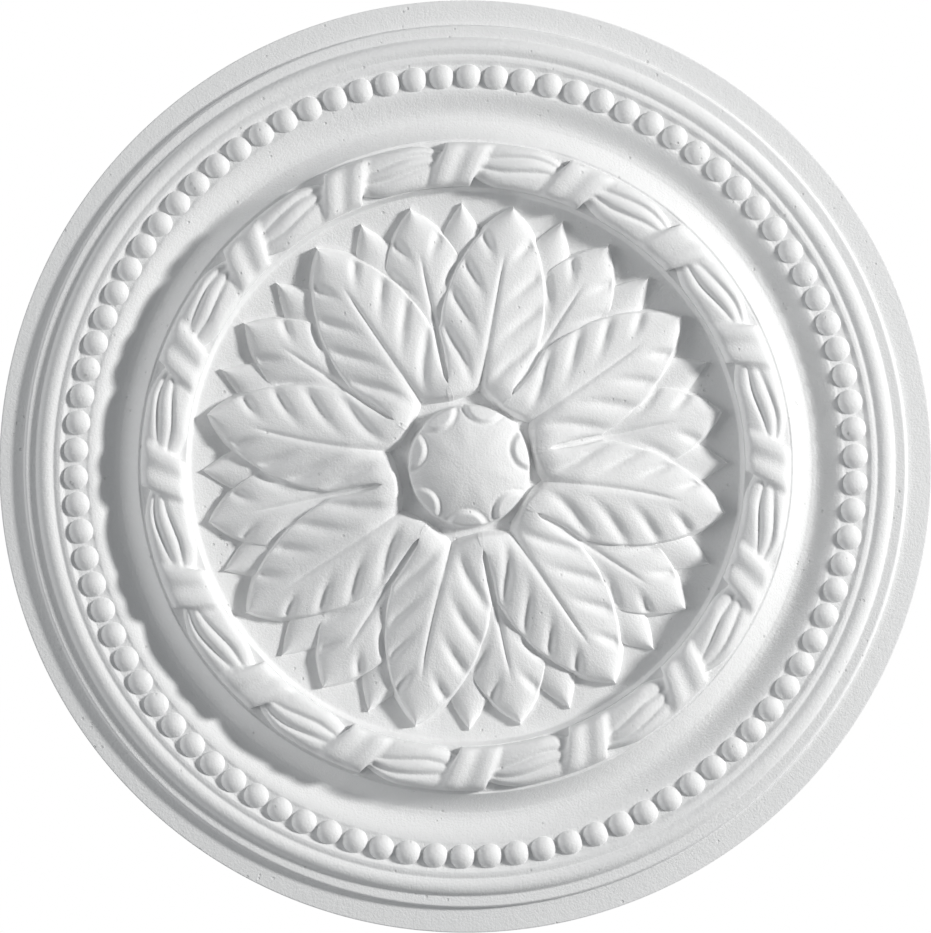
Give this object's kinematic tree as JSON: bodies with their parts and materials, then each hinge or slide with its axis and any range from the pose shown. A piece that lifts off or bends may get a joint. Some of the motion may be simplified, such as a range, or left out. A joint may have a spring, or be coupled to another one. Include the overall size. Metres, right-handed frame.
{
  "type": "ceiling rose",
  "caption": "Round white moulded ceiling rose: a leaf rosette round a domed boss, inside a ribbon-bound wreath, a cove and a beaded, moulded rim. Flat back for fixing to a ceiling.",
  "frame": {"origin": "centre of the flat back, in the plane where it meets the ceiling", "axes": "+Z out of the back, up into the ceiling; the relief faces -Z, down into the room; +X and +Y lie in the ceiling"},
  "size_m": [0.4, 0.4, 0.033],
  "materials": {
    "moulded_foam": "matte white moulded polystyrene foam with a fine grain"
  },
  "bodies": {
    "root": {"ceiling_rose": "moulded_foam"}
  },
  "joints": []
}
